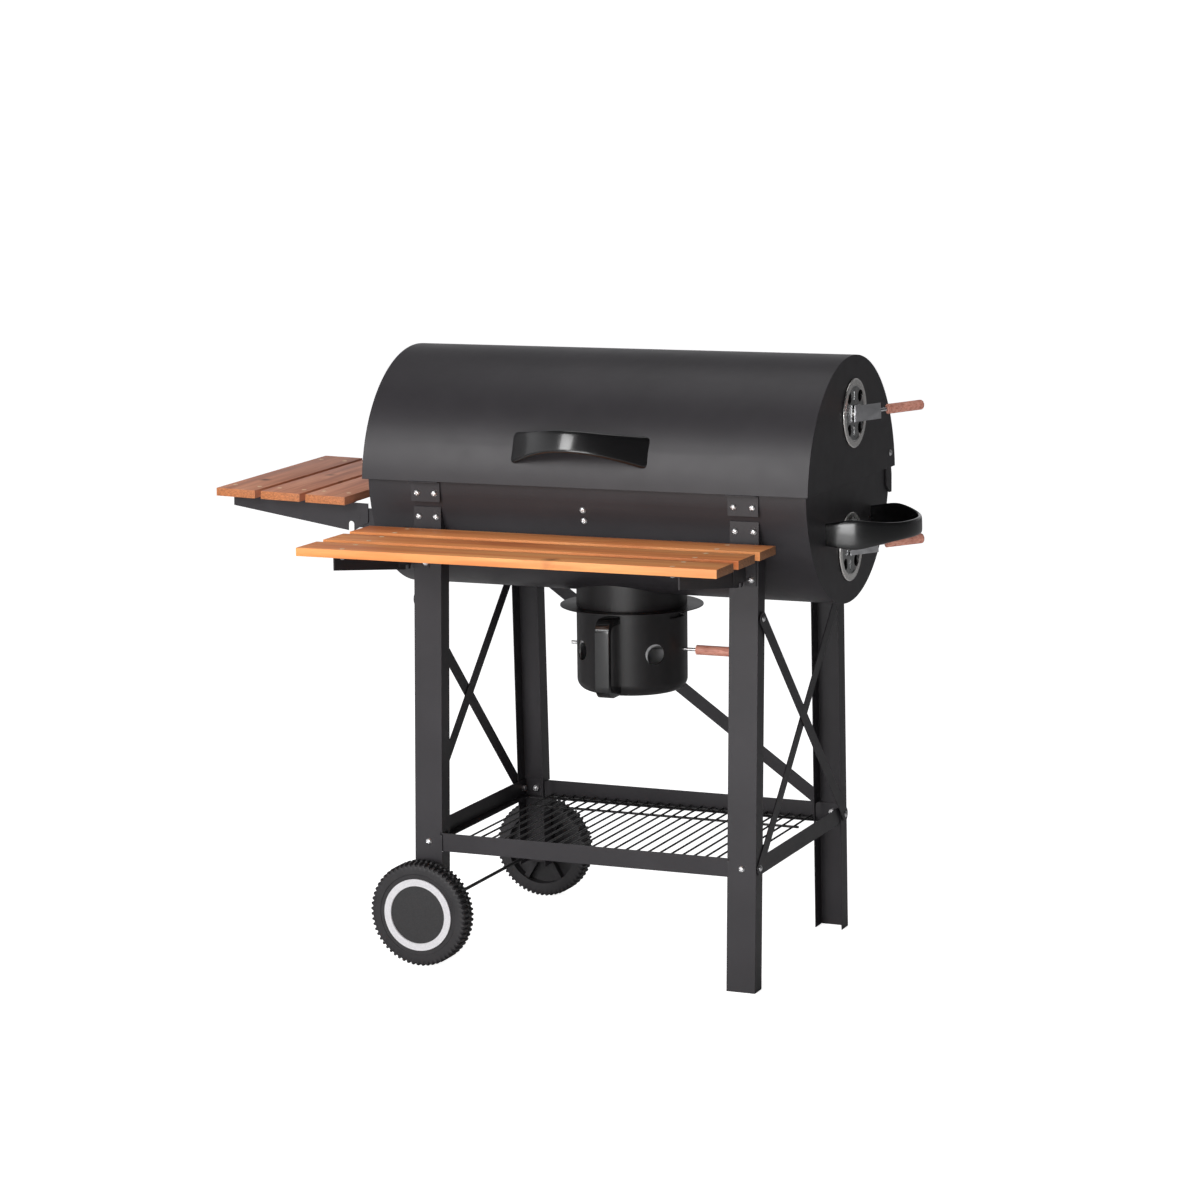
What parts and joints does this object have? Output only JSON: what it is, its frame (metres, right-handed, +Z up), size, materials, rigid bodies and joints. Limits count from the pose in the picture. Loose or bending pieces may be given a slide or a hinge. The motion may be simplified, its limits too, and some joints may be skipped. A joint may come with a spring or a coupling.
{
  "type": "barrel charcoal grill",
  "caption": "Horizontal barrel charcoal grill on a braced channel stand, with a hinged lid, slatted wooden front and side shelves, a wheeled end, end vents and an ash pot.",
  "frame": {"origin": "middle of the base of the model's box, on the ground", "axes": "+X along the barrel from the side shelf to the vented end, +Y from the front shelf to the back, +Z up"},
  "size_m": [1.2142, 0.794, 1.0499],
  "materials": {
    "black_coat": "satin powder coat",
    "black_wire": "satin powder coat",
    "gloss_black": "gloss enamel",
    "zinc": "bright zinc plate",
    "grate_chrome": "chrome plate",
    "grip_wood": "turned and sealed",
    "front_shelf_wood": "planed and oiled",
    "side_shelf_wood": "planed and oiled",
    "wheel_black": "fine matt",
    "cap_silver": "satin silver"
  },
  "bodies": {
    "stand": {"bowl": "black_coat", "leg_front_left": "black_coat", "leg_front_right": "black_coat", "leg_rear_left": "black_coat", "leg_rear_right": "black_coat", "front_rail": "black_coat", "rear_rail": "black_coat", "side_rail_left": "black_coat", "side_rail_right": "black_coat", "bottom_rack": "black_wire", "brace_left_down": "black_coat", "brace_left_up": "black_coat", "brace_right_down": "black_coat", "brace_right_up": "black_coat", "back_brace": "black_coat", "axle": "black_wire", "lid_rest_left": "black_coat", "lid_rest_right": "black_coat", "hinge_plate_left": "black_coat", "hinge_plate_right": "black_coat", "bowl_handle": "gloss_black", "grate_bar": "black_coat", "ash_collar": "black_coat", "front_hinge_left": "black_coat", "front_hinge_right": "black_coat", "side_shelf_bracket": "black_coat", "m6_bolts": "zinc", "m6_nuts": "zinc"},
    "lid": {"lid": "black_coat", "lid_handle": "gloss_black"},
    "lid_vent": {"lid_vent_disc": "zinc", "lid_vent_lever": "zinc", "lid_vent_grip": "grip_wood"},
    "bowl_vent": {"bowl_vent_disc": "zinc", "bowl_vent_lever": "zinc", "bowl_vent_grip": "grip_wood"},
    "ash_pot": {"ash_pot": "black_coat", "ash_pot_liner": "zinc", "ash_pot_handle": "gloss_black"},
    "damper": {"damper": "zinc", "damper_grip": "grip_wood"},
    "front_shelf": {"front_board_1": "front_shelf_wood", "front_board_2": "front_shelf_wood", "front_board_3": "front_shelf_wood", "front_arm_left": "black_coat", "front_arm_right": "black_coat", "front_shelf_screws": "zinc"},
    "side_shelf": {"side_board_1": "side_shelf_wood", "side_board_2": "side_shelf_wood", "side_board_3": "side_shelf_wood", "side_arm_front": "black_coat", "side_arm_rear": "black_coat", "side_shelf_screws": "zinc"},
    "wheel_front": {"wheel_front": "wheel_black", "wheel_front_cap": "cap_silver"},
    "wheel_rear": {"wheel_rear": "wheel_black", "wheel_rear_cap": "cap_silver"},
    "grate_left": {"cooking_grate_left": "grate_chrome"},
    "grate_right": {"cooking_grate_right": "grate_chrome"},
    "charcoal_grate": {"charcoal_grate": "black_wire"}
  },
  "joints": [
    {"name": "lid_hinge", "type": "hinge", "parent": "stand", "child": "lid", "pos_m": [0.0857, 0.314, 0.8625], "axis": [-1, 0, 0], "range_deg": [0, 90]},
    {"name": "lid_vent_turn", "type": "hinge", "parent": "lid", "child": "lid_vent", "pos_m": [0.4907, 0.12, 0.952], "axis": [1, 0, 0], "range_deg": [0, 45]},
    {"name": "bowl_vent_turn", "type": "hinge", "parent": "stand", "child": "bowl_vent", "pos_m": [0.4837, 0.12, 0.725], "axis": [-1, 0, 0], "range_deg": [0, 45]},
    {"name": "ash_pot_twist", "type": "hinge", "parent": "stand", "child": "ash_pot", "pos_m": [0.0857, 0.115, 0.59], "axis": [0, 0, 1], "range_deg": [0, 22]},
    {"name": "damper_turn", "type": "hinge", "parent": "ash_pot", "child": "damper", "pos_m": [0.0857, 0.115, 0.532], "axis": [1, 0, 0], "range_deg": [0, 90]},
    {"name": "front_shelf_fold", "type": "hinge", "parent": "stand", "child": "front_shelf", "pos_m": [0.0717, -0.142, 0.712], "axis": [1, 0, 0], "range_deg": [0, 90]},
    {"name": "side_shelf_fold", "type": "hinge", "parent": "stand", "child": "side_shelf", "pos_m": [-0.3443, 0.1, 0.767], "axis": [0, -0.9998, -0.0201], "range_deg": [0, 90]},
    {"name": "front_wheel_spin", "type": "hinge", "parent": "stand", "child": "wheel_front", "pos_m": [-0.2033, -0.147, 0.091], "axis": [0, 1, 0], "continuous": true},
    {"name": "rear_wheel_spin", "type": "hinge", "parent": "stand", "child": "wheel_rear", "pos_m": [-0.2033, 0.377, 0.091], "axis": [0, 1, 0], "continuous": true},
    {"name": "left_grate_lift", "type": "slide", "parent": "stand", "child": "grate_left", "axis": [0, 0, 1], "range_m": [0, 0.05]},
    {"name": "right_grate_lift", "type": "slide", "parent": "stand", "child": "grate_right", "axis": [0, 0, 1], "range_m": [0, 0.05]},
    {"name": "charcoal_grate_lift", "type": "slide", "parent": "stand", "child": "charcoal_grate", "axis": [0, 0, 1], "range_m": [0, 0.05]}
  ]
}
